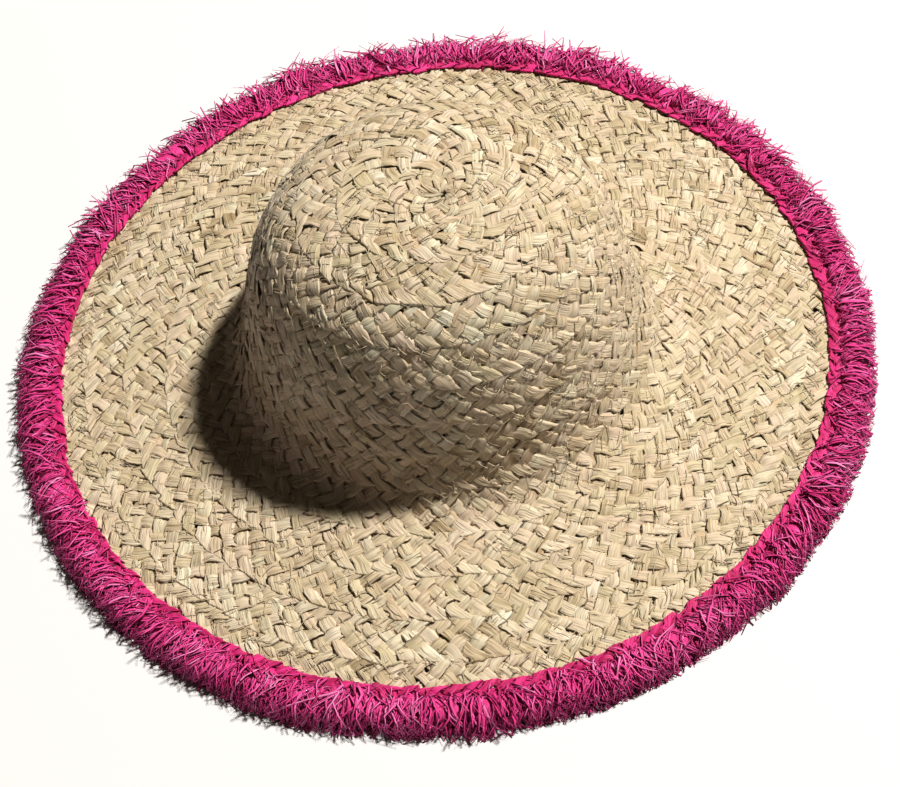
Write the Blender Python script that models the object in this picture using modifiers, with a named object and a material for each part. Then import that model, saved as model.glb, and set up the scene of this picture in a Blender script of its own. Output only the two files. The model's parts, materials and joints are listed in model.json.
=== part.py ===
"""Straw sun hat: a sewn raffia plait hat with a wide brim and a raffia fringe, as separate pieces.

The hat body is one long five-strand raffia plait, sewn edge to edge in a spiral from the crown's tip
to the brim's edge. Each turn of that spiral is a ring here, with the sewing thread of each seam as a
ring of its own. The fringe hangs from a narrow plait that is stitched on top of the brim's edge, and a
sweatband, its joint tape and a blank size label line the head opening.

Metres, +Z up. The hat lies on its brim: z = 0 is the underside of the fringe, and the brim's centre is
the origin. The head's long axis runs along X, and the back of the head is at +X.
"""
import math

import bmesh
import bpy
from mathutils import Vector

# ---------------------------------------------------------------- driving dimensions
BRIM_EDGE_R = 0.1975          # the straw's own edge, under the fringe
# The outer straw surface of the round hat, (radius, height), from the crown's tip to the brim's edge.
OUTLINE = (
    (0.0000, 0.1345), (0.0400, 0.1322), (0.0670, 0.1205), (0.0832, 0.0940), (0.0917, 0.0610),
    (0.0970, 0.0370), (0.1060, 0.0235), (0.1260, 0.0180), (0.1580, 0.0122), (BRIM_EDGE_R, 0.0064),
)
STRAW = 0.0024                # thickness of the plait
GAP = 0.0003                  # clearance between neighbours
TIP_LENGTH = 0.0200           # reach of the coiled start of the plait, along the outline
CROWN_ROWS = 7
BRIM_ROWS = 5
SEAM_BEVEL = 0.0008           # how far each edge of the plait leans back on the inside

HEAD_OVAL = 0.02              # the crown is this much longer along X, and as much shorter along Y
CROWN_SHIFT = Vector((0.003, -0.003, 0.0))     # how far the soft crown has settled off the brim's centre
TIP_SHIFT = Vector((0.008, -0.005, 0.0))       # how far the plait starts off the crown's centre
CROWN_R = 0.105               # inside this radius the oval and the shift are complete
ROUND_R = 0.150               # outside this radius the brim is round
SHOULDER_R = 0.0832           # the tip's shift fades out here
BRIM_WAVE = 0.0012            # height of the brim's three soft waves
WAVE_COUNT = 3
WAVE_START = 0.6              # radians

TURN_STEPS = 48               # facets round a ring
FRINGE_STEPS = 72

HEADING_IN_R = 0.1900         # the narrow plait that the fringe hangs from
HEADING_OUT_R = 0.1970
HEADING = 0.0010              # its thickness
FRINGE_IN_R = 0.1925
FRINGE_OUT_R = 0.2125
FRINGE_TOP = 0.0128

BAND_FROM_BASE = 0.0080       # the sweatband's lower edge, above the last crown seam, along the outline
BAND_WIDTH = 0.0250
BAND = 0.0010                 # its thickness
THREAD = 0.0007               # sewing thread


# ---------------------------------------------------------------- the hat's surface
def spline(points, steps_per_span=24):
    """A smooth curve through the points, as a dense list of (radius, height)."""
    first = (-points[1][0], points[1][1])
    last = (2 * points[-1][0] - points[-2][0], 2 * points[-1][1] - points[-2][1])
    knots = [Vector(p) for p in (first, *points, last)]
    curve = []
    for a, b, c, d in zip(knots, knots[1:], knots[2:], knots[3:]):
        for step in range(steps_per_span):
            t = step / steps_per_span
            curve.append(0.5 * (2 * b + (c - a) * t + (2 * a - 5 * b + 4 * c - d) * t ** 2
                                + (3 * b - a - 3 * c + d) * t ** 3))
    curve.append(knots[-2])
    return curve


CURVE = spline(OUTLINE)
LENGTHS = [0.0]
for before, after in zip(CURVE, CURVE[1:]):
    LENGTHS.append(LENGTHS[-1] + (after - before).length)
OUTLINE_LENGTH = LENGTHS[-1]
ROW = (OUTLINE_LENGTH - TIP_LENGTH) / (CROWN_ROWS + BRIM_ROWS)
CROWN_BASE = TIP_LENGTH + CROWN_ROWS * ROW


def outline(length, lift=0.0):
    """The (radius, height) at a length along the outline, lifted off the outer straw surface."""
    span = 0
    while span < len(LENGTHS) - 2 and LENGTHS[span + 1] < length:
        span += 1
    along = CURVE[span + 1] - CURVE[span]
    point = CURVE[span] + along * (length - LENGTHS[span]) / along.length
    outward = Vector((-along.y, along.x)).normalized()
    return point + outward * lift


def length_at(radius):
    """The length along the outline where the brim reaches a radius."""
    index = next(i for i, point in enumerate(CURVE) if point.x >= radius)
    below, above = CURVE[index - 1], CURVE[index]
    part = (radius - below.x) / (above.x - below.x)
    return LENGTHS[index - 1] + part * (LENGTHS[index] - LENGTHS[index - 1])


def smooth(x):
    x = min(max(x, 0.0), 1.0)
    return x * x * (3 - 2 * x)


def blocked(point):
    """Move a point of the round hat to its place on the oval, settled crown and the waved brim."""
    radius = math.hypot(point.x, point.y)
    crown = smooth((ROUND_R - radius) / (ROUND_R - CROWN_R))
    tip = max(0.0, 1 - radius / SHOULDER_R) ** 2
    moved = Vector((point.x * (1 + HEAD_OVAL * crown), point.y * (1 - HEAD_OVAL * crown), point.z))
    moved += CROWN_SHIFT * crown + TIP_SHIFT * tip
    if CROWN_R < radius < HEADING_IN_R:
        across = (radius - CROWN_R) / (HEADING_IN_R - CROWN_R)
        angle = math.atan2(point.y, point.x)
        moved.z += BRIM_WAVE * math.sin(math.pi * across) * math.sin(WAVE_COUNT * angle + WAVE_START)
    return moved


# ---------------------------------------------------------------- Blender helpers
def clear_scene():
    for item in list(bpy.data.objects):
        bpy.data.objects.remove(item, do_unlink=True)


def new_material(name, colour, roughness):
    material = bpy.data.materials.new(name)
    material.use_nodes = True
    shader = material.node_tree.nodes["Principled BSDF"]
    shader.inputs["Base Color"].default_value = (*colour, 1.0)
    shader.inputs["Roughness"].default_value = roughness
    shader.inputs["Metallic"].default_value = 0.0
    return material


def finish(name, mesh, colour, roughness):
    mesh.name = name
    mesh.materials.clear()
    mesh.materials.append(new_material(name, colour, roughness))
    mesh.shade_smooth()
    mesh.set_sharp_from_angle(angle=math.radians(35))
    item = bpy.data.objects.new(name, mesh)
    HAT.objects.link(item)
    return item


def turned(name, section, colour, roughness, steps=TURN_STEPS, closed=True):
    """Turn a section about Z, then block it to the hat's shape. A closed section makes a ring."""
    mesh = bpy.data.meshes.new(name)
    count = len(section)
    edges = [(i, i + 1) for i in range(count - 1)]
    if closed:
        edges.append((count - 1, 0))
    mesh.from_pydata([(radius, 0.0, height) for radius, height in section], edges, [])
    profile = bpy.data.objects.new(name + "_profile", mesh)
    HAT.objects.link(profile)
    screw = profile.modifiers.new("turn", "SCREW")
    screw.axis = "Z"
    screw.angle = 2 * math.pi
    screw.steps = steps
    screw.render_steps = steps
    screw.use_merge_vertices = True
    screw.merge_threshold = 0.00001
    solid = bpy.data.meshes.new_from_object(profile.evaluated_get(bpy.context.evaluated_depsgraph_get()))
    bpy.data.objects.remove(profile, do_unlink=True)
    bpy.data.meshes.remove(mesh)
    for vertex in solid.vertices:
        vertex.co = blocked(vertex.co)
    return finish(name, solid, colour, roughness)


def ring_section(start, end, top, bottom, spans, lean=0.0):
    """A strip lying on the hat from start to end along the outline, between two lifts.

    Its under side is narrower by lean at each edge, so neighbours leave a groove for their seam.
    """
    upper = [outline(start + (end - start) * i / spans, top) for i in range(spans + 1)]
    low_start, low_end = start + lean, end - lean
    lower = [outline(low_end + (low_start - low_end) * i / spans, bottom) for i in range(spans + 1)]
    return [tuple(point) for point in upper + lower]


def thread_section(length, top, thickness=THREAD):
    """A sewing thread lying along the hat: three-sided, with its ridge on top."""
    half = thickness / 2
    ridge = outline(length, top)
    low_right = outline(length + half, top - thickness)
    low_left = outline(length - half, top - thickness)
    return [tuple(point) for point in (ridge, low_right, low_left)]


def patch(name, angle, width, start, end, top, bottom, colour, roughness, slices=6):
    """A small flat piece bent to the hat: a cube cut across its width, then wrapped on the surface."""
    bm = bmesh.new()
    bmesh.ops.create_cube(bm, size=1.0)
    for cut in range(1, slices):
        place = (cut / slices - 0.5, 0, 0)
        geometry = bm.verts[:] + bm.edges[:] + bm.faces[:]
        bmesh.ops.bisect_plane(bm, geom=geometry, plane_co=place, plane_no=(1, 0, 0), dist=1e-6)
    radius = outline((start + end) / 2).x
    for vertex in bm.verts:
        along = start + (end - start) * (0.5 - vertex.co.y)
        lift = bottom + (top - bottom) * (vertex.co.z + 0.5)
        turn = angle + vertex.co.x * width / radius
        ring = outline(along, lift)
        vertex.co = blocked(Vector((ring.x * math.cos(turn), ring.x * math.sin(turn), ring.y)))
    bmesh.ops.recalc_face_normals(bm, faces=bm.faces)
    mesh = bpy.data.meshes.new(name)
    bm.to_mesh(mesh)
    bm.free()
    return finish(name, mesh, colour, roughness)


# ---------------------------------------------------------------- the straw body
STRAW_COLOUR = (0.62, 0.50, 0.33)
THREAD_COLOUR = (0.70, 0.60, 0.44)
PINK = (0.52, 0.02, 0.15)
PINK_HEADING = (0.56, 0.03, 0.18)
RIBBON = (0.72, 0.64, 0.50)
LABEL = (0.86, 0.84, 0.79)


def crown_tip():
    end = TIP_LENGTH - GAP / 2
    spans = 3
    upper = [outline(end * i / spans) for i in range(spans + 1)]
    low_end = end - SEAM_BEVEL
    lower = [outline(low_end * i / spans, -STRAW) for i in range(spans, 0, -1)]
    axis_point = (0.0, outline(0.0).y - STRAW)
    section = [tuple(point) for point in upper + lower] + [axis_point]
    return turned("straw_crown_tip", section, STRAW_COLOUR, 0.75, closed=False)


def plait_row(name, index, spans):
    start = TIP_LENGTH + index * ROW + GAP / 2
    end = TIP_LENGTH + (index + 1) * ROW - GAP / 2
    section = ring_section(start, end, 0.0, -STRAW, spans, SEAM_BEVEL)
    return turned(name, section, STRAW_COLOUR, 0.75)


def straw_body():
    crown_tip()
    for row in range(CROWN_ROWS):
        plait_row(f"straw_crown_row_{row + 1}", row, spans=3)
    for row in range(BRIM_ROWS):
        plait_row(f"straw_brim_row_{row + 1}", CROWN_ROWS + row, spans=2)


def seam_threads():
    """One ring of sewing thread in the groove under each seam."""
    ridge = -STRAW + THREAD + 0.0002
    for seam in range(CROWN_ROWS + BRIM_ROWS):
        section = thread_section(TIP_LENGTH + seam * ROW, ridge)
        turned(f"seam_thread_{seam + 1}", section, THREAD_COLOUR, 0.6)


# ---------------------------------------------------------------- the fringe on the brim's edge
def fringe():
    start, end = length_at(HEADING_IN_R), length_at(HEADING_OUT_R)
    top = GAP + HEADING
    heading = ring_section(start, end, top, GAP, spans=1)
    turned("fringe_heading_plait", heading, PINK_HEADING, 0.8)
    stitch = thread_section(start + 0.0012, top + GAP + THREAD)
    turned("fringe_heading_thread", stitch, PINK, 0.6)

    over_heading = outline(length_at(FRINGE_IN_R), top + GAP).y
    over_edge = outline(end, top + GAP).y
    straw_clear = BRIM_EDGE_R + 2 * GAP
    pile = (
        (FRINGE_IN_R, over_heading + GAP),
        (FRINGE_IN_R + 0.0025, 0.92 * FRINGE_TOP),
        (FRINGE_IN_R + 0.0085, FRINGE_TOP),
        (FRINGE_OUT_R - 0.0030, 0.86 * FRINGE_TOP),
        (FRINGE_OUT_R, 0.40 * FRINGE_TOP),
        (FRINGE_OUT_R - 0.0020, 0.0),
        (BRIM_EDGE_R + 0.0020, 0.0),
        (straw_clear, 0.25 * FRINGE_TOP),
        (straw_clear, over_edge),
    )
    turned("raffia_fringe", pile, PINK, 0.7, steps=FRINGE_STEPS)


# ---------------------------------------------------------------- the lining of the head opening
def head_lining():
    low = CROWN_BASE - BAND_FROM_BASE
    high = low - BAND_WIDTH
    outer = -STRAW - GAP
    inner = outer - BAND
    turned("sweatband", ring_section(high, low, outer, inner, spans=2), RIBBON, 0.8)
    on_band = inner - GAP
    turned("sweatband_thread", thread_section(low - 0.0022, on_band), THREAD_COLOUR, 0.6)

    back = 0.0
    patch("sweatband_joint_tape", back, 0.012, high + 0.0010, low - 0.0042, on_band, on_band - 0.0008,
          RIBBON, 0.8, slices=4)
    label_angle = math.radians(18)
    patch("size_label", label_angle, 0.024, high + 0.0050, low - 0.0060, on_band, on_band - 0.0005,
          LABEL, 0.7)


clear_scene()
HAT = bpy.data.collections.new("straw_sun_hat")
bpy.context.scene.collection.children.link(HAT)
straw_body()
seam_threads()
fringe()
head_lining()
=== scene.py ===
# %% [markdown]
# # A straw sun hat with a raffia fringe
# The hat is one long raffia plait, five strands wide, sewn edge to edge in a spiral: first the crown's
# tip, then the crown, then the brim. A bright raffia fringe hides the brim's edge, and a ribbon lines
# the head opening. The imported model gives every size, and each piece here is laid over it.

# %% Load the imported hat
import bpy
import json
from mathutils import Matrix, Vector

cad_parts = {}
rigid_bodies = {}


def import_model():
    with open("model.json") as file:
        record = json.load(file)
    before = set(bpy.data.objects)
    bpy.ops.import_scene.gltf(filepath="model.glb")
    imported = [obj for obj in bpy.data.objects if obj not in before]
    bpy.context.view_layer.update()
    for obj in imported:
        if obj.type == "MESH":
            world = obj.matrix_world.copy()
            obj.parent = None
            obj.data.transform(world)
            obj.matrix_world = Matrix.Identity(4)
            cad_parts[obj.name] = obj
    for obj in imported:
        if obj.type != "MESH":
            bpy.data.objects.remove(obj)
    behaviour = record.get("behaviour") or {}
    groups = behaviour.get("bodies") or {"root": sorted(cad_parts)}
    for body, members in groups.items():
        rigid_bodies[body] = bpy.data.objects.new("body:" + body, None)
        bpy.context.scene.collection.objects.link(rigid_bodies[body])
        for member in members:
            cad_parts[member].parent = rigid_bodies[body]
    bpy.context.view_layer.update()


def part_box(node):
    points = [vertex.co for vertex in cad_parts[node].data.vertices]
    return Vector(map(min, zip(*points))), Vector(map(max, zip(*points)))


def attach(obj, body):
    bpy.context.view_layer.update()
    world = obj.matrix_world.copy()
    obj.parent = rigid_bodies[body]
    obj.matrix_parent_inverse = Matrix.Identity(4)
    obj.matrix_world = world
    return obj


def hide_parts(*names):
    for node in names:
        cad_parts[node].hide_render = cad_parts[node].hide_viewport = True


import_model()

# %% Tools for the lesson
import json
import math

import bpy
import numpy as np
from mathutils import Matrix, Vector

TAU = 2 * math.pi
MM = 0.001


def only(piece):
    """Select one piece and nothing else, and make it the active one."""
    for other in bpy.context.view_layer.objects:
        other.select_set(False)
    piece.select_set(True)
    bpy.context.view_layer.objects.active = piece


def corners(mesh):
    """A mesh's vertices as an array, one row each."""
    flat = np.empty(len(mesh.vertices) * 3, np.float32)
    mesh.vertices.foreach_get("co", flat)
    return flat.reshape(-1, 3).astype(float)


def place(mesh, points):
    mesh.vertices.foreach_set("co", np.asarray(points, np.float32).ravel())
    mesh.update()


def triangles(piece):
    return sum(len(face.vertices) - 2 for face in piece.data.polygons)


# %% [markdown]
# ## The hat's own shape
# A hat is shaped on a block. Its outline is a smooth curve of radius and height from the crown's tip to
# the brim's edge, turned round and then eased: the crown is a little longer than it is wide, it has
# settled a few millimetres to one side, and the brim has three soft waves. Every piece of straw asks one
# function for its place: how far round, how far along the outline, and how high above the straw.

# %% The outline and the block
BRIM_EDGE_R = 0.1975
OUTLINE = (
    (0.0000, 0.1345), (0.0400, 0.1322), (0.0670, 0.1205), (0.0832, 0.0940), (0.0917, 0.0610),
    (0.0970, 0.0370), (0.1060, 0.0235), (0.1260, 0.0180), (0.1580, 0.0122), (BRIM_EDGE_R, 0.0064),
)
STRAW = 2.4 * MM
TIP_LENGTH = 0.0200
CROWN_ROWS = 7
BRIM_ROWS = 5
HEAD_OVAL = 0.02
CROWN_SHIFT = np.array((0.003, -0.003, 0.0))
TIP_SHIFT = np.array((0.008, -0.005, 0.0))
CROWN_R, ROUND_R, SHOULDER_R = 0.105, 0.150, 0.0832
BRIM_WAVE, WAVE_COUNT, WAVE_START = 0.0012, 3, 0.6
HEADING_IN_R, HEADING_OUT_R, FRINGE_OUT_R = 0.1900, 0.1970, 0.2125


def spline(points, steps_per_span=24):
    first = (-points[1][0], points[1][1])
    last = (2 * points[-1][0] - points[-2][0], 2 * points[-1][1] - points[-2][1])
    knots = np.array((first, *points, last))
    curve = []
    for a, b, c, d in zip(knots, knots[1:], knots[2:], knots[3:]):
        for t in np.arange(steps_per_span) / steps_per_span:
            curve.append(0.5 * (2 * b + (c - a) * t + (2 * a - 5 * b + 4 * c - d) * t ** 2
                                + (3 * b - a - 3 * c + d) * t ** 3))
    curve.append(knots[-2])
    return np.array(curve)


CURVE = spline(OUTLINE)
STEPS = np.hypot(*np.diff(CURVE, axis=0).T)
LENGTHS = np.concatenate(([0.0], np.cumsum(STEPS)))
SLOPES = np.gradient(CURVE, LENGTHS, axis=0)
ROW = (LENGTHS[-1] - TIP_LENGTH) / (CROWN_ROWS + BRIM_ROWS)
CROWN_BASE = TIP_LENGTH + CROWN_ROWS * ROW


def on_hat(angle, length, lift):
    """Points on the hat: angle round it, length along its outline, lift off its outer straw."""
    angle, length, lift = np.broadcast_arrays(angle, length, lift)
    radius = np.interp(length, LENGTHS, CURVE[:, 0])
    height = np.interp(length, LENGTHS, CURVE[:, 1])
    run = np.interp(length, LENGTHS, SLOPES[:, 0])
    rise = np.interp(length, LENGTHS, SLOPES[:, 1])
    slant = np.hypot(run, rise)
    radius = radius - lift * rise / slant
    height = height + lift * run / slant
    crown = np.clip((ROUND_R - radius) / (ROUND_R - CROWN_R), 0, 1)
    crown = crown * crown * (3 - 2 * crown)
    tip = np.clip(1 - radius / SHOULDER_R, 0, 1) ** 2
    across = np.clip((radius - CROWN_R) / (HEADING_IN_R - CROWN_R), 0, 1)
    wave = BRIM_WAVE * np.sin(math.pi * across) * np.sin(WAVE_COUNT * angle + WAVE_START)
    x = radius * np.cos(angle) * (1 + HEAD_OVAL * crown) + CROWN_SHIFT[0] * crown + TIP_SHIFT[0] * tip
    y = radius * np.sin(angle) * (1 - HEAD_OVAL * crown) + CROWN_SHIFT[1] * crown + TIP_SHIFT[1] * tip
    return np.stack((x, y, height + wave), axis=-1)


def length_at(radius):
    """The length along the outline at which the brim reaches a radius."""
    on_brim = LENGTHS > CROWN_BASE - ROW
    return float(np.interp(radius, CURVE[on_brim, 0], LENGTHS[on_brim]))


for row_name, end in (("straw_crown_row_4", 4), ("straw_brim_row_3", 10)):
    low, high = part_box(row_name)
    reach = on_hat(0.0, TIP_LENGTH + end * ROW, 0.0)[0]
    print(row_name, "reaches", round(high.x, 4), "in the packed hat and", round(reach, 4), "here")

# %% [markdown]
# ## The camera, the floor and the light
# The camera looks down at the hat from one side, a little rolled. The light is a studio's: a soft key
# from the right and above, which lays the crown's shadow on the brim, a weak wide fill, and a dim room.

# %% Camera
VIEW_DISTANCE = 1.25
VIEW_ELEVATION = math.radians(53.6)
VIEW_ROLL = math.radians(-8.2)
LENS, SENSOR_WIDTH = 101.2, 36.0
AIM = Vector((0.0, 0.0, 0.0064))
AIM_RIGHT, AIM_UP = 0.0038, -0.0202      # where the picture's centre lies, beside the brim's centre

back = Vector((0.0, -math.cos(VIEW_ELEVATION), math.sin(VIEW_ELEVATION)))
level_right = Vector((1.0, 0.0, 0.0))
level_up = back.cross(level_right)
right = level_right * math.cos(VIEW_ROLL) + level_up * math.sin(VIEW_ROLL)
up = back.cross(right)
camera_data = bpy.data.cameras.new("view")
camera_data.lens = LENS
camera_data.sensor_width = SENSOR_WIDTH
camera = bpy.data.objects.new("view", camera_data)
bpy.context.scene.collection.objects.link(camera)
eye = AIM + back * VIEW_DISTANCE + right * AIM_RIGHT + up * AIM_UP
turn = Matrix((right, up, back)).transposed()
camera.matrix_world = Matrix.Translation(eye) @ turn.to_4x4()
bpy.context.scene.camera = camera
print("camera", round(VIEW_DISTANCE, 2), "m from the brim, lens", LENS, "mm")

# %% [markdown]
# The table is a pale board. The key lamp is small enough to give the crown's shadow an edge, and a weak
# wide lamp from the other side keeps the shadows from going black. The fill and the room are warm, as
# light is that has been thrown back by straw, and a little contrast makes the light as strong as the sun's.

# %% Floor and lamps
FLOOR_SIZE = 40.0
FLOOR_HEIGHT = -0.2 * MM
FLOOR_GREY, FLOOR_ROUGH = 0.62, 0.9
LAMPS = (                                  # name, direction from the hat, distance, size, watts, colour
    ("key", (0.467, 0.179, 0.866), 8.0, 0.70, 1220.0, (1.0, 0.965, 0.925)),
    ("fill", (-0.60, -0.75, 0.70), 2.6, 2.2, 0.6, (1.0, 0.86, 0.70)),
)
ROOM_LIGHT, ROOM_COLOUR = 0.040, (1.0, 0.88, 0.72, 1.0)
CONTRAST = 0.90

bpy.ops.mesh.primitive_plane_add(size=FLOOR_SIZE, location=(0.0, 0.0, FLOOR_HEIGHT))
floor = bpy.context.object
floor.name = "floor"
board = bpy.data.materials.new("white_board")
board.use_nodes = True
board_surface = board.node_tree.nodes["Principled BSDF"]
board_surface.inputs["Base Color"].default_value = (FLOOR_GREY, FLOOR_GREY, FLOOR_GREY, 1.0)
board_surface.inputs["Roughness"].default_value = FLOOR_ROUGH
floor.data.materials.append(board)

for name, direction, distance, size, watts, colour in LAMPS:
    lamp_data = bpy.data.lights.new(name, "AREA")
    lamp_data.size = size
    lamp_data.energy = watts
    lamp_data.color = colour
    lamp = bpy.data.objects.new(name, lamp_data)
    towards = Vector(direction).normalized()
    lamp.location = towards * distance
    lamp.rotation_euler = towards.to_track_quat("Z", "Y").to_euler()
    bpy.context.scene.collection.objects.link(lamp)

room = bpy.data.worlds.new("room")
room.use_nodes = True
sky = room.node_tree.nodes["Background"]
sky.inputs["Color"].default_value = ROOM_COLOUR
sky.inputs["Strength"].default_value = ROOM_LIGHT
bpy.context.scene.world = room
bpy.context.scene.view_settings.view_transform = "Standard"
bpy.context.scene.view_settings.gamma = CONTRAST
print(len(LAMPS), "lamps and a room light of", ROOM_LIGHT)

# %% [markdown]
# A material is a small network of nodes. Written as arithmetic it reads like the recipe that it is, so
# one class stands for a node's output and turns +, - and * into Math nodes, and one method adds any
# other node.

# %% A short way to write materials
class Wire:
    """The output of a shader node, with arithmetic that adds Math nodes."""

    def __init__(self, paint, socket):
        self.paint = paint
        self.socket = socket

    def sum_of(self, operation, first, second):
        return self.paint.add("ShaderNodeMath", {"operation": operation}, {0: first, 1: second})

    def __add__(self, other):
        return self.sum_of("ADD", self, other)

    def __sub__(self, other):
        return self.sum_of("SUBTRACT", self, other)

    def __rsub__(self, other):
        return self.sum_of("SUBTRACT", other, self)

    def __mul__(self, other):
        return self.sum_of("MULTIPLY", self, other)

    __radd__ = __add__
    __rmul__ = __mul__


class Paint:
    """One material and its nodes."""

    def __init__(self, name, **constants):
        self.material = bpy.data.materials.new(name)
        self.material.use_nodes = True
        self.tree = self.material.node_tree
        self.surface = self.tree.nodes["Principled BSDF"]
        for socket, value in constants.items():
            self.surface.inputs[socket.replace("_", " ")].default_value = value

    def add(self, kind, settings=None, inputs=None, output=0):
        """A new node: its settings first, then its sockets' values or links. Gives one output."""
        made = self.tree.nodes.new(kind)
        for key, value in (settings or {}).items():
            if key == "stops":
                self.ramp(made.color_ramp, value)
            else:
                setattr(made, key, value)
        for socket, value in (inputs or {}).items():
            self.feed(made.inputs[socket], value)
        return Wire(self, made.outputs[output])

    def ramp(self, colours, stops):
        for index, (position, colour) in enumerate(stops):
            if index < 2:
                stop = colours.elements[index]
                stop.position = position
            else:
                stop = colours.elements.new(position)
            stop.color = (*colour, 1.0)

    def feed(self, socket, value):
        if isinstance(value, Wire):
            self.tree.links.new(value.socket, socket)
        else:
            socket.default_value = value

    def finish(self, **links):
        for socket, value in links.items():
            self.feed(self.surface.inputs[socket.replace("_", " ")], value)
        return self.material

    def parts(self, vector):
        """The three numbers of a vector or a colour."""
        split = self.tree.nodes.new("ShaderNodeSeparateXYZ")
        self.feed(split.inputs[0], vector)
        return [Wire(self, output) for output in split.outputs]

    def join(self, x, y, z):
        return self.add("ShaderNodeCombineXYZ", None, {0: x, 1: y, 2: z})

    def noise(self, vector, scale, detail=2.0, roughness=0.5):
        return self.add("ShaderNodeTexNoise", None,
                        {"Vector": vector, "Scale": scale, "Detail": detail, "Roughness": roughness})

    def stretch(self, value, low, high, new_low=0.0, new_high=1.0):
        """Map a range of values to another, clamped."""
        return self.add("ShaderNodeMapRange", None, {0: value, 1: low, 2: high, 3: new_low, 4: new_high})

    def times(self, colour, other):
        """A colour multiplied by another."""
        return self.add("ShaderNodeMix", {"data_type": "RGBA", "blend_type": "MULTIPLY"},
                        {0: 1.0, 6: colour, 7: other}, output=2)

    def shade(self, colour, amount):
        """A colour made darker by an amount from 0, black, to 1, unchanged."""
        return self.times(colour, self.join(amount, amount, amount))

    def mix(self, amount, first, second):
        return self.add("ShaderNodeMix", {"data_type": "RGBA"}, {0: amount, 6: first, 7: second}, output=2)

    def wave(self, value, pitch):
        """A smooth ridge from 0 to 1 in every pitch."""
        return 0.5 * self.add("ShaderNodeMath", {"operation": "SINE"}, {0: value * (TAU / pitch)}) + 0.5

    def bump(self, height, distance, strength=1.0):
        return self.add("ShaderNodeBump", None,
                        {"Height": height, "Distance": distance, "Strength": strength})


# %% [markdown]
# ## Raffia
# Raffia is the skin of a palm leaf, torn into strips and dried. Each strip is made of lengthwise fibres,
# pale cream to tan, some greenish and some a little pink, and no two strips match. Each strand carries
# its own tone, height and number in an attribute called leaf, and a UV map measured in metres runs
# along it, so the fibres always follow the strand. Where the height is low the colour is darkened as
# painted shade.

# %% Raffia, natural and dyed
NATURAL = (
    (0.00, (0.277, 0.194, 0.105)),
    (0.22, (0.424, 0.334, 0.206)),
    (0.45, (0.539, 0.449, 0.302)),
    (0.62, (0.579, 0.478, 0.349)),
    (0.80, (0.620, 0.548, 0.403)),
    (1.00, (0.710, 0.659, 0.529)),
)
DYED = (
    (0.00, (0.460, 0.014, 0.115)),
    (0.25, (0.640, 0.028, 0.205)),
    (0.50, (0.780, 0.052, 0.290)),
    (0.75, (0.850, 0.110, 0.400)),
    (1.00, (0.910, 0.290, 0.580)),
)


PINKISH, GREENISH = (1.0, 0.96, 0.97, 1.0), (0.97, 1.0, 0.95, 1.0)
WHITE = (1.0, 1.0, 1.0, 1.0)
# painted shade: colours multiplied in where the leaf lies low, in recesses and under other strands
PAINTED_SHADE_STRAW, PAINTED_SHADE_PINK = (0.94, 0.84, 0.72, 1.0), (0.86, 0.72, 0.80, 1.0)
BUNDLES_PER_FIBRE = 0.35                 # a bundle is about three fibres wide
RELIEF = 0.75 * MM


def raffia(name, stops, streak_share, painted_shade_tone, fibre_rows, rough, sheen):
    """Fibrous leaf: tone from the strand, streaks along it, and painted shade where it dips under others and
    in the grooves between its fibres.
    """
    paint = Paint(name, Sheen_Weight=sheen, Sheen_Roughness=0.4, Specular_IOR_Level=0.35)
    tint, height, number = paint.parts(paint.add("ShaderNodeAttribute", {"attribute_name": "leaf"}))
    along, across, _ = paint.parts(paint.add("ShaderNodeUVMap", {"uv_map": "strand"}))
    fibres = paint.noise(paint.join(along * 60.0, across * fibre_rows, number * 61.0), 1.0, 2.0, 0.7)
    coarse_rows = fibre_rows * BUNDLES_PER_FIBRE
    bundles = paint.noise(paint.join(along * 45.0, across * coarse_rows, number * 29.0), 1.0, 1.0)
    blotches = paint.noise(paint.join(along * 90.0, across * 300.0, number * 17.0), 1.0, 2.0)
    shade = tint + (fibres - 0.5) * streak_share + (blotches - 0.5) * 0.25 + (bundles - 0.5) * 0.25
    colour = paint.add("ShaderNodeValToRGB", {"stops": stops}, {0: shade})
    hue = paint.stretch(paint.noise(paint.join(along * 25.0, number * 400.0, 0.0), 1.0), 0.35, 0.65)
    colour = paint.times(colour, paint.mix(hue, PINKISH, GREENISH))
    # painted shade: low heights darken the colour towards the painted shade tone
    colour = paint.times(colour, paint.mix(paint.stretch(height, 0.0, 0.75), painted_shade_tone, WHITE))
    # painted shade: dark lines in the grooves between the fibres
    fibre_groove_shade = paint.stretch(fibres * 0.7 + bundles * 0.3, 0.38, 0.50, 0.72, 1.0)
    return paint.finish(
        Base_Color=paint.shade(colour, fibre_groove_shade),
        Roughness=paint.stretch(fibres, 0.3, 0.7, rough + 0.12, rough - 0.08),
        Normal=paint.bump(fibres * 0.9 + bundles * 0.7 + blotches * 0.3, RELIEF),
    )


straw_raffia = raffia("natural_raffia", NATURAL, 0.55, PAINTED_SHADE_STRAW, 1700.0, 0.62, 0.10)
pink_raffia = raffia("dyed_raffia", DYED, 0.45, PAINTED_SHADE_PINK, 1800.0, 0.58, 0.03)
print("raffia in", len(NATURAL), "natural and", len(DYED), "dyed shades")
# %% [markdown]
# ## One strand of plait
# A strand is a flat bundle of leaf with ridges on both faces. It starts as a circle of a dozen corners,
# pressed into a ridged lens, and one short slice is extruded from it. An Array modifier repeats the
# slice into a straight strand, which is then laid along its path, so all strands share one section.

# %% The ridged slice and the straight strand
SECTION = (
    (1.00, 0.00), (0.70, 0.74), (0.36, 0.50), (0.00, 1.00), (-0.36, 0.50), (-0.70, 0.74),
    (-1.00, 0.00), (-0.70, -0.74), (-0.36, -0.50), (0.00, -1.00), (0.36, -0.50), (0.70, -0.74),
)


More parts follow.
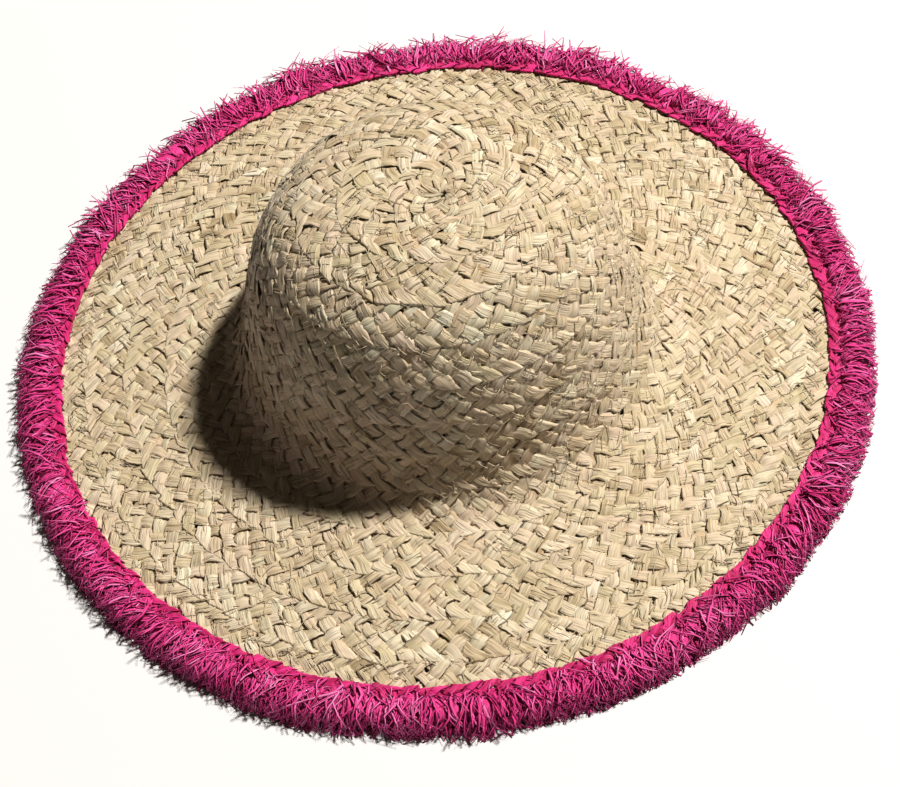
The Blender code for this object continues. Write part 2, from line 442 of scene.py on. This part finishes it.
def tube(section, slices):
    """A straight tube along X, one unit a slice, open at both ends."""
    bpy.ops.mesh.primitive_circle_add(vertices=len(section), radius=1.0, fill_type="NOTHING")
    made = bpy.context.object
    place(made.data, [(0.0, side, lift) for side, lift in section])
    only(made)
    bpy.ops.object.mode_set(mode="EDIT")
    bpy.ops.mesh.select_all(action="SELECT")
    bpy.ops.mesh.extrude_region_move(TRANSFORM_OT_translate={"value": (1.0, 0.0, 0.0)})
    bpy.ops.object.mode_set(mode="OBJECT")
    repeat(made, slices, 1.0, merge=True)
    return made


def repeat(piece, count, step, merge=False):
    """Repeat a piece along X with an Array modifier, applied."""
    only(piece)
    array = piece.modifiers.new("repeat", "ARRAY")
    array.count = count
    array.use_relative_offset = False
    array.use_constant_offset = True
    array.constant_offset_displace = (step, 0.0, 0.0)
    array.use_merge_vertices = merge
    array.merge_threshold = 0.0001
    bpy.ops.object.modifier_apply(modifier="repeat")


def bundle(section, slices, count):
    """Many straight strips with closed ends. Gives the piece, and each corner's strip, share along it
    and place in its section."""
    strip = tube(section, slices)
    bpy.ops.object.mode_set(mode="EDIT")
    bpy.ops.mesh.select_all(action="SELECT")
    bpy.ops.mesh.fill_holes(sides=len(section))
    bpy.ops.object.mode_set(mode="OBJECT")
    repeat(strip, count, slices + 1)
    points = corners(strip.data)
    which = np.arange(len(points)) * count // len(points)
    share = (points[:, 0] - which * (slices + 1)) / slices
    return strip, which, share, points[:, 1], points[:, 2]


def copy_of(piece):
    twin = bpy.data.objects.new(piece.name, piece.data.copy())
    bpy.context.scene.collection.objects.link(twin)
    return twin


def join(pieces, name, material):
    """Join pieces into the first, close what meets, and turn every face outwards."""
    only(pieces[0])
    for piece in pieces:
        piece.select_set(True)
    bpy.ops.object.join()
    bpy.ops.object.mode_set(mode="EDIT")
    bpy.ops.mesh.select_all(action="SELECT")
    bpy.ops.mesh.remove_doubles(threshold=0.000001)
    bpy.ops.mesh.normals_make_consistent(inside=False)
    bpy.ops.object.mode_set(mode="OBJECT")
    bpy.ops.object.shade_smooth()
    whole = pieces[0]
    whole.name = name
    whole.data.name = name
    whole.data.materials.clear()
    whole.data.materials.append(material)
    return whole


def hand_over(piece, nodes):
    """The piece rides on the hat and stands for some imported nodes."""
    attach(piece, "root")
    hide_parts(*nodes)


def strand_map(piece, along, across):
    """The UV map called strand, in metres along and across, before the strand is bent."""
    mesh = piece.data
    loop_corner = np.empty(len(mesh.loops), np.int32)
    mesh.loops.foreach_get("vertex_index", loop_corner)
    layer = mesh.uv_layers.new(name="strand")
    flat = np.stack((along, across), axis=1)
    layer.data.foreach_set("uv", flat[loop_corner].astype(np.float32).ravel())


def leaf_data(piece, tint, height, number):
    """The attribute called leaf: tone, height in the weave (the raffia paints shade where it is low), and
    the strand's own number.
    """
    count = len(piece.data.vertices)
    values = np.ones((count, 4), np.float32)
    values[:, 0], values[:, 1], values[:, 2] = tint, height, number
    layer = piece.data.attributes.new("leaf", "FLOAT_COLOR", "POINT")
    layer.data.foreach_set("color", values.ravel())


# %% [markdown]
# ## Laying the plait
# In a five-strand plait each strand runs slantwise from one edge to the other, folds under itself, and
# runs back, going over one strand and under the next. All strands follow the same zigzag, each a fifth
# of it behind the one before. The fold turns the leaf over along a crease that lies on the plait's edge,
# so the edge shows a row of pointed ends. Where rows meet, the lower edge of one lies over the upper
# edge of the next, as it does when they are sewn, and small random shifts keep it hand-made.

# %% Over, under and round
SLICES = 6                                           # slices of strand from one crossing to the next
CROWDING = 0.80                                      # how much the slices crowd towards the folds
FOLD = 0.07                                          # the fold's length and the sheared end before it,
SHEAR = 1.10                                         # both in crossings
FOLD_LIFT = 0.80
SWAY, RISE, EDGE = 0.45 * MM, 0.20 * MM, 0.50 * MM   # how far it strays sideways, up and past the row's edge
LEAN, SKEW = 0.16, 0.20                              # how much it tilts, and how crooked its folds are
RIDGES, FRAYED, UNEVEN = 0.40, 0.16, 0.08            # how much its ridges, its edges and its faces vary


def eased(values, where):
    """Read a closed list of values between its entries, with a smooth step from each to the next."""
    low = np.floor(where).astype(int)
    part = (1 - np.cos(math.pi * (where - low))) / 2
    count = len(values)
    return values[low % count] * (1 - part) + values[(low + 1) % count] * part


def wander(rng, middle, spread, count, where):
    """A smooth random value along a strand, within two and a half spreads of its middle."""
    return middle + eased(np.clip(rng.normal(0, spread, count), -2.5 * spread, 2.5 * spread), where)


def spliced(rng, count, middle, spread):
    """A shade for each crossing: the same along one leaf, new where the next leaf is worked in."""
    shades = np.empty(count)
    at = 0
    while at < count:
        run = int(rng.integers(4, 12))
        shades[at:at + run] = rng.normal(middle, spread)
        at += run
    return np.clip(shades + rng.normal(0, 0.45 * spread, count), 0.03, 0.98)


def over_under(strands):
    """Heights along one zigzag: a fold, then under, over, under, over, and the same on the way back."""
    leg = [0.0] + [(-1.0) ** (crossing + 1) for crossing in range(strands - 1)]
    return np.array(leg + leg)


def lay_strand(strand, kind, start, end, zigzags, turn_from, order, shingle, rng):
    """Bend a straight strand along its zigzag in the row from start to end, and shade it."""
    strands = kind["strands"]
    crossings = zigzags * 2 * strands
    slices = crossings * SLICES
    points = corners(strand.data)
    slice_at = np.rint(points[:, 0]).astype(int)
    slice_of = slice_at % slices
    a, b = points[:, 1], points[:, 2]
    corner = np.argmin(np.hypot(*(points[:, None, 1:] - np.array(SECTION)).transpose(2, 0, 1)), axis=1)

    steady = np.arange(slices + 1) / SLICES
    along_all = steady - CROWDING * np.sin(TAU * steady / strands) * strands / TAU
    at = along_all[:slices]
    from_fold = (at + strands / 2) % strands - strands / 2
    outer = np.where(np.round((at - from_fold) / strands).astype(int) % 2 == 0, 1.0, -1.0)
    across = np.abs(2 * ((at / (2 * strands)) % 1) - 1)
    fold = math.pi / 2 * np.clip(from_fold / FOLD, -1, 1)
    near = np.clip(np.abs(from_fold), 0, 1)
    held = FOLD_LIFT + (1 - FOLD_LIFT) * (1 - np.cos(math.pi * near)) / 2
    weave = np.where(near < 1, -held * np.sin(fold), eased(over_under(strands), at))
    weave = np.sign(weave) * np.abs(weave) ** 0.8

    width = end - start + 2 * kind["overlap"]
    zigzag = TAU * np.interp((start + end) / 2, LENGTHS, CURVE[:, 0]) / zigzags
    slant = math.atan(2 * width / zigzag)
    leaf_half = kind["fill"] * zigzag / strands * math.sin(slant)
    inward = np.where(outer * from_fold > 0, 1.0, -1.0)
    sheared = np.clip(1 - np.abs(from_fold) / SHEAR, 0, 1)
    skew = wander(rng, 0.0, SKEW, crossings, at)
    axis_along = math.sin(slant) * (1 - sheared) + sheared / math.sin(slant)
    axis_across = inward * math.cos(slant) * (1 - sheared) + skew * sheared
    face_across = np.cos(fold)
    face_up = -outer * np.sin(fold)

    rough = kind["rough"]
    wide = leaf_half * wander(rng, 1.0, 0.07, crossings, at) * (1 + 0.05 * weave)
    sway = wander(rng, 0.0, SWAY * rough, crossings, at) * (1 - sheared)
    rise = wander(rng, 0.0, RISE * rough, crossings, at)
    edge = wander(rng, 0.0, EDGE * rough, crossings, at)
    lean = wander(rng, 0.0, LEAN, crossings, at)
    ridges = np.stack([wander(rng, 1.0, RIDGES, 2 * crossings, 2 * at) for _ in SECTION])
    ragged = np.stack([wander(rng, 1.0, FRAYED if abs(edge_at) == 1 else UNEVEN, 3 * crossings, 3 * at)
                       for edge_at, _ in SECTION])

    side = a * wide[slice_of] * ragged[corner, slice_of] + sway[slice_of]
    thick = b * kind["half_thick"] * ridges[corner, slice_of]
    along = zigzag * at[slice_of] / (2 * strands) + side * axis_along[slice_of]
    over = across[slice_of] * width - kind["overlap"] + side * axis_across[slice_of] + edge[slice_of]
    over = over + thick * face_across[slice_of]
    height = kind["middle"] + weave * kind["weave_lift"] + rise + shingle * (2 * across - 1)
    lift = height[slice_of] + thick * face_up[slice_of] + side * lean[slice_of] * (1 - sheared[slice_of])
    angle = turn_from + TAU * (along / zigzag - order / strands) / zigzags

    number = float(rng.random())
    step = math.hypot(zigzag / (2 * strands), width / strands)
    strand_map(strand, along_all[slice_at] * step, a * leaf_half + number)
    shades = spliced(rng, crossings, *kind["shade"])[np.rint(at).astype(int) % crossings]
    streaks = rng.normal(0, 0.06, len(SECTION))
    # painted shade: the height is low where the strand dips under others and at its edges, high on its
    # ridges, and the raffia darkens low heights
    painted_edge_shade = 0.14 * np.abs(b) - 0.10 * (np.abs(a) > 0.9)
    leaf_data(strand, np.clip(shades[slice_of] + streaks[corner], 0.02, 1.0),
              np.clip(0.5 + 0.45 * weave[slice_of] + painted_edge_shade, 0, 1), number)
    place(strand.data, on_hat(angle, np.maximum(start + over, 0.2 * MM), lift))


def plait_row(name, kind, start, end, shingle, seed):
    rng = np.random.default_rng(seed)
    around = TAU * np.interp((start + end) / 2, LENGTHS, CURVE[:, 0])
    zigzags = max(2, round(around / kind["zigzag"]))
    strands = [tube(SECTION, zigzags * 2 * kind["strands"] * SLICES)]
    strands += [copy_of(strands[0]) for _ in range(kind["strands"] - 1)]
    turn_from = rng.uniform(0, TAU)
    for order, strand in enumerate(strands):
        lay_strand(strand, kind, start, end, zigzags, turn_from, order, shingle, rng)
    row = join(strands, name, kind["material"])
    print(name, zigzags, "zigzags", triangles(row), "triangles")
    return row


# %% Lay every row
# fill is half a strand's width over the spacing of the strands
STRAW_PLAIT = {
    "strands": 5, "zigzag": 47 * MM, "fill": 0.505, "overlap": 1.1 * MM, "middle": -STRAW / 2,
    "weave_lift": 0.50 * MM, "half_thick": 0.58 * MM, "rough": 1.0, "shade": (0.54, 0.12),
    "material": straw_raffia,
}
CROWN_SHINGLE, BRIM_SHINGLE = 0.32 * MM, 0.22 * MM   # how much a row leans over the next one
TIP_HOLE = 2.5 * MM
total = 0
for number in range(CROWN_ROWS + BRIM_ROWS):
    start = TIP_LENGTH + number * ROW
    on_crown = number < CROWN_ROWS
    part, count = ("crown", number + 1) if on_crown else ("brim", number - CROWN_ROWS + 1)
    shingle = CROWN_SHINGLE if on_crown else BRIM_SHINGLE
    row = plait_row(f"plait_{part}_row_{count}", STRAW_PLAIT, start, start + ROW, shingle, 100 + number)
    hand_over(row, [f"straw_{part}_row_{count}"])
    total += triangles(row)

tip = plait_row("plait_crown_tip", STRAW_PLAIT, TIP_HOLE, TIP_LENGTH, 0.0, 99)
hand_over(tip, ["straw_crown_tip"])
print("plait in all", total + triangles(tip), "triangles")

# %% [markdown]
# ## The fringe's heading
# The fringe is made on a narrow plait of its own, three dyed strands wide. It lies flat on the brim's
# last few millimetres, so its slanting leaves show as a bright band between the straw and the loose ends.

# %% The narrow dyed plait
HEADING_PLAIT = {
    "strands": 3, "zigzag": 22 * MM, "fill": 0.45, "overlap": 0.0, "middle": 1.2 * MM,
    "weave_lift": 0.48 * MM, "half_thick": 0.40 * MM, "rough": 1.2, "shade": (0.12, 0.12),
    "material": pink_raffia,
}
heading = plait_row("fringe_heading", HEADING_PLAIT, length_at(HEADING_IN_R - 0.0005),
                    length_at(HEADING_OUT_R - 0.0003), 0.0, 41)
hand_over(heading, ["fringe_heading_plait"])

# %% [markdown]
# ## The fringe
# The loose ends are raffia too, cut short and tied in tufts so close that they make a soft roll round
# the brim. One fibre is a thin three-sided strip, extruded from a triangle and repeated with an Array
# modifier. Each copy is then bent on its own curve. A tuft's fibres fan out from its root, low ones down
# to the table and high ones up and over, and its middle reaches furthest, so the edge is scalloped. A
# quarter are short ends that lie over the heading, and a few lie flat underneath and close the roll.

# %% Bend the fibres into tufts
FIBRE_SLICES = 4
FIBRE_SECTION = ((1.0, -0.5), (-1.0, -0.5), (0.0, 1.0))
FIBRES = 14000
TUFTS = 100
QUARTERS = 4
FIBRE_LONG, SHORTEST = 16.4 * MM, 6.0 * MM
FIBRE_THICK = 0.09 * MM
NARROW, WIDE = 0.26 * MM, 0.90 * MM
LOWEST, HIGHEST = math.radians(-34), math.radians(27)      # the fan of one tuft, seen from its side
ROOT_R, ROOT_Z = HEADING_OUT_R - 3.4 * MM, 4.5 * MM
ROOT_DEEP, ROOT_TALL = 5.5 * MM, 4.0 * MM
STRAY_SHARE = 0.30
SHORT_SHARE, SHORT_BACK, SHORT_CUT = 0.24, 6.0 * MM, 0.45
UNDER_SHARE, UNDER_R, UNDER_DEEP = 0.12, 0.1932, 5.0 * MM
TRIM = 0.7                               # how much is cut off what reaches past the tuft's edge


def fringe_quarter(name, rng, first_angle, last_angle, count, tufts):
    """Straight strips bent into tufts between two angles."""
    bunch, fibre, t, y, z = bundle(FIBRE_SECTION, FIBRE_SLICES, count)
    spacing = (last_angle - first_angle) / tufts
    tuft = rng.integers(0, tufts, count)
    tuft_angle = first_angle + spacing * (np.arange(tufts) + rng.uniform(0.3, 0.7, tufts))
    tuft_long = rng.normal(0.6 * MM, 1.3 * MM, tufts)
    tuft_lean = rng.normal(0, 0.28, tufts)
    tuft_shade = rng.normal(0.50, 0.06, tufts)

    beside = np.clip(rng.normal(0, 0.5, count), -1.1, 1.1)
    high = rng.random(count) ** 0.75
    stray = rng.random(count) < STRAY_SHARE
    short = rng.random(count) < SHORT_SHARE
    under = rng.random(count) < UNDER_SHARE
    high = high * (1 - under)
    fan = np.where(under, rng.normal(0, 0.04, count), LOWEST + (HIGHEST - LOWEST) * high)
    root_angle = tuft_angle[tuft] + 0.5 * spacing * beside
    root_r = ROOT_R + rng.uniform(0, ROOT_DEEP, count) * (1.2 - high)
    root_r = root_r - short * rng.uniform(0, SHORT_BACK, count)
    root_r = np.where(under, UNDER_R + rng.uniform(0, UNDER_DEEP, count), root_r)
    root_z = ROOT_Z + ROOT_TALL * high + rng.normal(0, 0.5 * MM, count)
    root_z = np.where(under, rng.uniform(0.5, 1.6, count) * MM, root_z)
    long = FIBRE_LONG - 4.6 * MM * np.maximum(np.sin(fan), 0) - 4.2 * MM * beside ** 2
    long = long - (root_r - HEADING_OUT_R) + tuft_long[tuft] + rng.normal(0, 0.7 * MM, count)
    long = np.maximum(long * (1 - SHORT_CUT * short), SHORTEST)
    lean = tuft_lean[tuft] + 0.22 * beside + rng.normal(0, 0.26, count)
    lean = lean + (stray | short) * rng.normal(0, 0.7, count)
    lean = np.tan(np.clip(lean, -1.0, 1.0))
    bow = rng.normal(0, 0.22, count)
    droop = rng.normal(0.46, 0.18, count) * (1 - under)
    wide = NARROW + (WIDE - NARROW) * rng.random(count) ** 1.5
    spin, turns = rng.normal(0, 0.35, count), rng.normal(0, 0.5, count)
    crimp = rng.normal(0, 1.0 * MM, count)
    edge = FRINGE_OUT_R - 0.8 * MM + 0.8 * tuft_long[tuft] - 2.2 * MM * beside ** 2

    slope = fan[fibre] + droop[fibre] * (1 - 2 * t)
    radius = root_r[fibre] + long[fibre] * t * np.cos(slope)
    radius = radius - TRIM * np.maximum(radius - edge[fibre], 0)
    height = root_z[fibre] + long[fibre] * t * np.sin(slope)
    aside = long[fibre] * (lean[fibre] * t + bow[fibre] * np.sin(math.pi * t))
    aside = aside + crimp[fibre] * np.sin(TAU * t)
    taper = (1 - 0.45 * t ** 3) * (0.75 + 0.25 * np.minimum(4 * t, 1)) * wide[fibre]
    roll = spin[fibre] + turns[fibre] * t
    flat = y * taper * np.cos(roll) - z * FIBRE_THICK * np.sin(roll)
    proud = y * taper * np.sin(roll) + z * FIBRE_THICK * np.cos(roll)
    angle = root_angle[fibre] + (aside + flat) / FRINGE_OUT_R
    radius = radius - proud * np.sin(slope)
    height = np.maximum(height + proud * np.cos(slope), 0.1 * MM)

    strand_map(bunch, t * long[fibre], y * wide[fibre] + rng.random(count)[fibre])
    shade = np.clip(tuft_shade[tuft] + rng.normal(0.05, 0.20, count), 0.02, 0.98)
    # painted shade: low fibres and the parts near the roots get low heights, which the raffia darkens
    painted_shade_height = np.clip(0.60 + 0.30 * high[fibre] + 0.30 * t, 0, 1)
    leaf_data(bunch, shade[fibre], painted_shade_height, rng.random(count)[fibre])
    place(bunch.data, np.stack((radius * np.cos(angle), radius * np.sin(angle), height), axis=1))
    return join([bunch], name, pink_raffia)


rng = np.random.default_rng(7)
for quarter in range(QUARTERS):
    first_angle = TAU * quarter / QUARTERS
    bunch = fringe_quarter(f"fringe_quarter_{quarter + 1}", rng, first_angle, first_angle + TAU / QUARTERS,
                           FIBRES // QUARTERS, TUFTS // QUARTERS)
    hand_over(bunch, ["raffia_fringe"])
    print(bunch.name, FIBRES // QUARTERS, "fibres", triangles(bunch), "triangles")

# %% [markdown]
# Under the loose ends the tufts are bound together. This bound core fills the roll, so that no light
# comes through between the fibres. It is a ring pulled from a circle, lumpy like the tufts over it.

# %% The bound core of the fringe
CORE_R, CORE_Z = 0.2003, 6.2 * MM
CORE_WIDE, CORE_TALL = 5.2 * MM, 3.6 * MM
bpy.ops.mesh.primitive_torus_add(major_segments=480, minor_segments=14, major_radius=1.0, minor_radius=0.1)
core = bpy.context.object
points = corners(core.data)
around = np.arctan2(points[:, 1], points[:, 0])
ring = np.hypot(points[:, 0], points[:, 1]) - 1
rng = np.random.default_rng(8)
lumps = wander(rng, 1.0, 0.08, TUFTS, around / TAU * TUFTS + TUFTS)
radius = CORE_R + ring * 10 * CORE_WIDE * lumps
height = CORE_Z + points[:, 2] * 10 * CORE_TALL * lumps
strand_map(core, radius, around * CORE_R)
# painted shade: a height of 0.40 darkens the core, which lies under the fibres
leaf_data(core, 0.50, 0.40, 0.5)
place(core.data, np.stack((radius * np.cos(around), radius * np.sin(around), height), axis=1))
core = join([core], "fringe_core", pink_raffia)
hand_over(core, ["raffia_fringe"])
print(core.name, triangles(core), "triangles")

# %% [markdown]
# ## Thread, ribbon and label
# Woven things share one recipe: ribs across the cloth, finer threads along it, and a little unevenness.
# The grosgrain's ribs stand across the ribbon, and a twisted thread is the same with slanting ribs.

# %% Woven materials
def cloth(name, colour, rib, thread, slant, relief, rough, sheen):
    """Ribs across and threads along, both read from the map called strand. The colour is darker where they
    are low: painted shade between ribs and threads, and random unevenness of tone.
    """
    paint = Paint(name, Sheen_Weight=sheen, Sheen_Roughness=0.35, Specular_IOR_Level=0.3)
    along, across, _ = paint.parts(paint.add("ShaderNodeUVMap", {"uv_map": "strand"}))
    ribs = paint.wave(along + across * slant, rib)
    threads = paint.wave(across, thread)
    uneven = paint.noise(paint.join(along * 120.0, across * 700.0, 0.0), 1.0, 3.0)
    height = ribs + threads * 0.35 + uneven * 0.5
    # painted shade between ribs and threads, and uneven tone: a darker copy of the colour mixed in where the
    # height is low
    rib_groove_shade = tuple(0.66 * part for part in colour)
    return paint.finish(
        Base_Color=paint.mix(paint.stretch(height, 0.2, 1.4), (*rib_groove_shade, 1.0), (*colour, 1.0)),
        Roughness=paint.stretch(uneven, 0.3, 0.7, rough + 0.08, rough - 0.08),
        Normal=paint.bump(height, relief),
    )


ribbon_cloth = cloth("grosgrain_ribbon", (0.70, 0.61, 0.46), 0.9 * MM, 0.30 * MM, 0.0, 0.12 * MM, 0.62, 0.25)
label_cloth = cloth("satin_label", (0.86, 0.84, 0.79), 0.22 * MM, 0.16 * MM, 0.0, 0.03 * MM, 0.38, 0.15)
straw_thread = cloth("sewing_thread", (0.74, 0.64, 0.46), 0.5 * MM, 0.4 * MM, 1.0, 0.06 * MM, 0.60, 0.10)
pink_thread = cloth("pink_thread", (0.60, 0.03, 0.20), 0.5 * MM, 0.4 * MM, 1.0, 0.06 * MM, 0.60, 0.10)

# %% [markdown]
# The rows are joined by lines of stitches that show underneath. One stitch is a short six-sided tube. It
# is repeated, and every copy is laid along its seam with both ends dipping into the straw. Two more lines
# hold the fringe's heading and the ribbon inside.

# %% Lines of stitches
HEXAGON = tuple((math.cos(TAU * i / 6), math.sin(TAU * i / 6)) for i in range(6))
STITCH_SLICES = 4


def stitch_line(name, seam, lift, dip, pitch, thick, material, seed):
    """Stitches along a ring at one length of the outline, dipping away from the lift at both ends."""
    rng = np.random.default_rng(seed)
    radius = np.interp(seam, LENGTHS, CURVE[:, 0])
    count = round(TAU * radius / pitch)
    line, stitch, t, y, z = bundle(HEXAGON, STITCH_SLICES, count)
    slip = rng.normal(0, 0.12 * MM, count)
    lean = rng.normal(0, 0.10, count)
    reach = 0.84 * pitch * (t - 0.5)
    angle = (stitch + 0.5) * TAU / count + reach / radius
    length = seam + slip[stitch] + reach * lean[stitch] + y * thick
    height = lift + dip * (2 * t - 1) ** 4 + z * thick
    strand_map(line, t * pitch, y * thick)
    place(line.data, on_hat(angle, length, height))
    return join([line], name, material)


UNDER_STRAW, OVER_HEADING, OVER_RIBBON = -2.50 * MM, 1.72 * MM, -3.72 * MM
SEAM_PITCH, HEADING_PITCH, RIBBON_PITCH = 5.5 * MM, 4.5 * MM, 4.0 * MM
stitches = 0
for seam in range(CROWN_ROWS + BRIM_ROWS):
    line = stitch_line(f"seam_stitches_{seam + 1}", TIP_LENGTH + seam * ROW, UNDER_STRAW, 0.7 * MM,
                       SEAM_PITCH, 0.26 * MM, straw_thread, 300 + seam)
    hand_over(line, [f"seam_thread_{seam + 1}"])
    stitches += triangles(line)
print("stitches under the seams,", stitches, "triangles")

heading_line = stitch_line("fringe_heading_stitches", length_at(HEADING_IN_R) + 1.2 * MM,
                           OVER_HEADING, -0.7 * MM, HEADING_PITCH, 0.17 * MM, pink_thread, 320)
hand_over(heading_line, ["fringe_heading_thread"])

# %% [markdown]
# ## The ribbon inside
# A sweatband lines the head opening. It is grosgrain ribbon, one straight length whose ends meet at the
# back of the head under a short piece of the same cloth. Its section is a flat strip with a fuller edge,
# extruded round the head. A small satin label, left blank, is caught beside the join.

# %% The sweatband
BAND_FROM_BASE, BAND_WIDTH = 8.0 * MM, 25.0 * MM
BAND_LOW = CROWN_BASE - BAND_FROM_BASE
BAND_HIGH = BAND_LOW - BAND_WIDTH
BAND_LIFT, BAND_HALF = -3.25 * MM, 0.33 * MM
BAND_SLICES = 360
BAND_EDGE = (1.0, 0.97, 0.90, 0.45, 0.0, -0.45, -0.90, -0.97, -1.0)
BAND_SWELL = (0.5, 1.5, 0.9, 1.0, 1.0, 1.0, 0.9, 1.5, 0.5)
BAND_SECTION = tuple(zip(BAND_EDGE, BAND_SWELL)) + tuple((-e, -s) for e, s in zip(BAND_EDGE, BAND_SWELL))


band = tube(BAND_SECTION, BAND_SLICES)
points = corners(band.data)
rng = np.random.default_rng(330)
turns = points[:, 0] / BAND_SLICES
around = turns % 1
ease = wander(rng, 0.0, 0.25 * MM, 24, around * 24) * points[:, 1]
length = (BAND_LOW + BAND_HIGH) / 2 + points[:, 1] * BAND_WIDTH / 2
band_r = float(np.interp((BAND_LOW + BAND_HIGH) / 2, LENGTHS, CURVE[:, 0])) + BAND_LIFT
band_long = TAU * band_r
strand_map(band, turns * band_long, points[:, 1] * BAND_WIDTH / 2)
place(band.data, on_hat(TAU * around, length, BAND_LIFT + points[:, 2] * BAND_HALF + ease))
band = join([band], "sweatband_ribbon", ribbon_cloth)
hand_over(band, ["sweatband"])
print(band.name, round(band_long * 1000), "mm long,", triangles(band), "triangles")

band_line = stitch_line("sweatband_stitches", BAND_LOW - 2.2 * MM, OVER_RIBBON, 0.5 * MM,
                        RIBBON_PITCH, 0.20 * MM, straw_thread, 340)
hand_over(band_line, ["sweatband_thread"])


# %% Joint tape and label
def small_cloth(name, angle, width, high, low, lift, thick, bulge, material):
    """A small piece of cloth on the ribbon: a grid, laid in place and made thick with Solidify."""
    bpy.ops.mesh.primitive_grid_add(x_subdivisions=16, y_subdivisions=12, size=2.0)
    piece = bpy.context.object
    points = corners(piece.data)
    x, y = points[:, 0], points[:, 1]
    tall = low - high
    radius = np.interp((high + low) / 2, LENGTHS, CURVE[:, 0]) + lift
    pillow = -bulge * (1 - x ** 4) * (1 - y ** 4)
    strand_map(piece, y * tall / 2, x * width / 2)
    place(piece.data, on_hat(angle + x * width / 2 / radius, (high + low) / 2 - y * tall / 2, lift + pillow))
    only(piece)
    solid = piece.modifiers.new("thickness", "SOLIDIFY")
    solid.thickness = thick
    solid.offset = 0.0
    bpy.ops.object.modifier_apply(modifier="thickness")
    return join([piece], name, material)


TAPE_WIDTH, LABEL_WIDTH = 12.0 * MM, 24.0 * MM
TAPE_HIGH, TAPE_LOW = BAND_HIGH + 1.0 * MM, BAND_LOW - 4.2 * MM
LABEL_HIGH, LABEL_LOW = BAND_HIGH + 5.0 * MM, BAND_LOW - 6.0 * MM
LABEL_ANGLE = math.radians(18)
tape = small_cloth("sweatband_joint_cloth", 0.0, TAPE_WIDTH, TAPE_HIGH, TAPE_LOW, -4.05 * MM, 0.45 * MM,
                   0.15 * MM, ribbon_cloth)
hand_over(tape, ["sweatband_joint_tape"])
label = small_cloth("blank_label", LABEL_ANGLE, LABEL_WIDTH, LABEL_HIGH, LABEL_LOW, -4.00 * MM, 0.30 * MM,
                    0.25 * MM, label_cloth)
hand_over(label, ["size_label"])
print("joint cloth", triangles(tape), "and label", triangles(label), "triangles")

TAPE_LOW - TAPE_HIGH
LABEL_LOW - LABEL_HIGH

# %% [markdown]
# ## Loose fibres
# Raffia frays. Single fibres split off the leaves all over the straw. Nearly all lie along a leaf with
# both ends under the weave, and a few run free and curl up. They are the fringe's strips again, much
# thinner, and laid on the hat.

# %% Scatter the loose fibres
WISPS = 5000
WISP_SLICES = 4
FREE_SHARE = 0.06
WISP_SLANT = math.radians(44)
rng = np.random.default_rng(350)
wisps, wisp, t, y, z = bundle(FIBRE_SECTION, WISP_SLICES, WISPS)
area = CURVE[1:, 0] * np.diff(LENGTHS)
root_length = rng.choice(LENGTHS[1:], WISPS, p=area / area.sum())
root_length = np.clip(root_length + rng.normal(0, 2 * MM, WISPS), 4 * MM, LENGTHS[-1] - 14 * MM)
root_angle = rng.uniform(0, TAU, WISPS)
free = rng.random(WISPS) < FREE_SHARE
long = rng.uniform(4, 9, WISPS) * MM * (1 + 0.8 * free)
aim = rng.choice((-1.0, 1.0), WISPS) * WISP_SLANT + rng.normal(0, 0.17, WISPS) * (1 + 4 * free)
bow = rng.normal(0, 0.05, WISPS) * (1 + 3 * free)
top = rng.normal(0.22, 0.12, WISPS) * MM
rise = rng.gamma(1.3, 0.6 * MM, WISPS) * free
thin = rng.uniform(0.09, 0.22, WISPS) * MM

forward = long[wisp] * t
aside = long[wisp] * bow[wisp] * np.sin(math.pi * t) + y * thin[wisp]
along = forward * np.cos(aim)[wisp] - aside * np.sin(aim)[wisp]
across = forward * np.sin(aim)[wisp] + aside * np.cos(aim)[wisp]
radius = np.maximum(np.interp(root_length, LENGTHS, CURVE[:, 0]), 6 * MM)
tucked = np.maximum(1 - 4 * t, (1 - free[wisp]) * (4 * t - 3))
lift = top[wisp] - 0.7 * MM * np.maximum(tucked, 0) + rise[wisp] * t ** 2 + 0.8 * z * thin[wisp]
strand_map(wisps, forward, y * thin[wisp] + rng.random(WISPS)[wisp])
leaf_data(wisps, np.clip(rng.normal(0.60, 0.20, WISPS), 0.05, 0.98)[wisp], 0.9, rng.random(WISPS)[wisp])
place(wisps.data, on_hat(root_angle[wisp] + along / radius[wisp],
                         np.clip(root_length[wisp] + across, 1 * MM, LENGTHS[-1] - 8 * MM), lift))
wisps = join([wisps], "loose_fibres", straw_raffia)
rows = [f"straw_crown_row_{i + 1}" for i in range(CROWN_ROWS)]
rows += [f"straw_brim_row_{i + 1}" for i in range(BRIM_ROWS)]
hand_over(wisps, rows)
print(wisps.name, WISPS, "fibres", triangles(wisps), "triangles")
